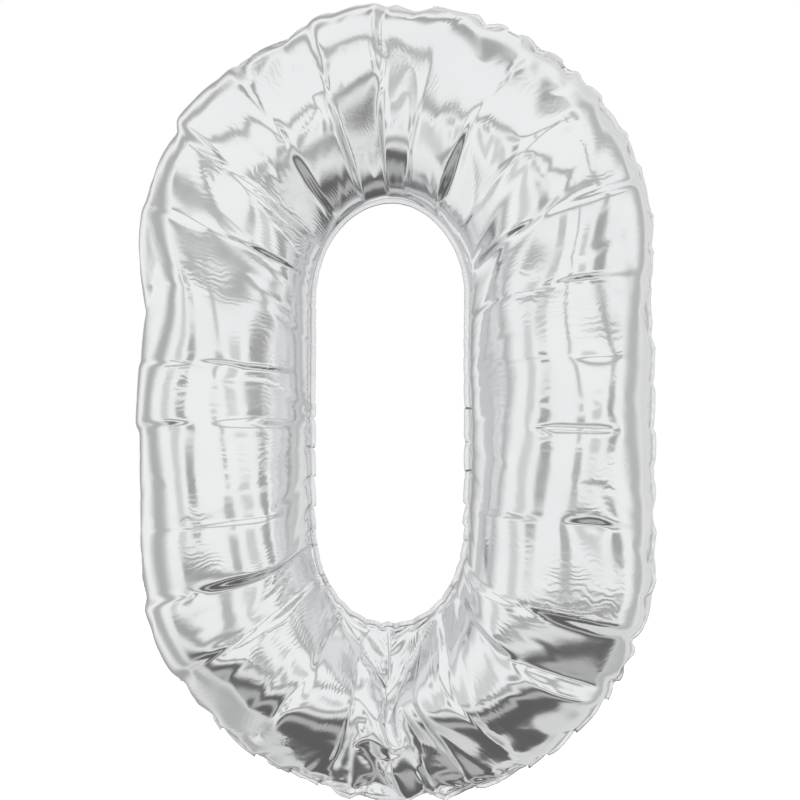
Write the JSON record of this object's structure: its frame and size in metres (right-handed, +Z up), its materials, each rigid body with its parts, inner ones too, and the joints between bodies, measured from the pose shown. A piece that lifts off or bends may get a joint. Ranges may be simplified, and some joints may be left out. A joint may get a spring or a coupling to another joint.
{
  "type": "foil number balloon",
  "caption": "Inflated mirror-foil number zero balloon with heat-sealed rims, a self-closing filling valve in a folded neck, and two hanging tabs.",
  "frame": {"origin": "middle of the neck's root on the lower edge of the outer rim, where a ribbon is tied; the rims' plane is y = 0", "axes": "+Z up the figure's height, +X to the right as the figure is read, -Y out of the front"},
  "size_m": [0.568, 0.1868, 0.8651],
  "materials": {
    "foil_front": "bright metallised film",
    "foil_back": "bright metallised film",
    "foil_rim": "bright metallised film, heat-sealed",
    "foil_tab": "bright metallised film, heat-sealed",
    "valve_film": "clear polyethylene film",
    "valve_seal": "sealed polyethylene film",
    "release_coat": "printed coat"
  },
  "bodies": {
    "balloon": {"front_panel": "foil_front", "back_panel": "foil_back", "outer_seal": "foil_rim", "inner_seal": "foil_rim", "divider_weld": "foil_rim", "valve_front_film": "valve_film", "valve_back_film": "valve_film", "valve_edge_seals": "valve_seal", "valve_release_coat": "release_coat"},
    "neck": {"neck_front_ply": "foil_front", "neck_back_ply": "foil_back", "neck_side_seals": "foil_rim", "inlet_front_film": "valve_film", "inlet_back_film": "valve_film"},
    "tab_left": {"hang_tab_left": "foil_tab"},
    "tab_right": {"hang_tab_right": "foil_tab"}
  },
  "joints": [
    {"name": "neck_fold", "type": "hinge", "parent": "balloon", "child": "neck", "pos_m": [0, 0, -0.0007], "axis": [-1, 0, 0], "range_deg": [0, 150]},
    {"name": "tab_left_fold", "type": "hinge", "parent": "balloon", "child": "tab_left", "pos_m": [-0.07863, 0, 0.85393], "axis": [0.9669, 0, 0.255], "range_deg": [0, 150]},
    {"name": "tab_right_fold", "type": "hinge", "parent": "balloon", "child": "tab_right", "pos_m": [0.07863, 0, 0.85393], "axis": [0.9669, 0, -0.255], "range_deg": [0, 150]}
  ]
}
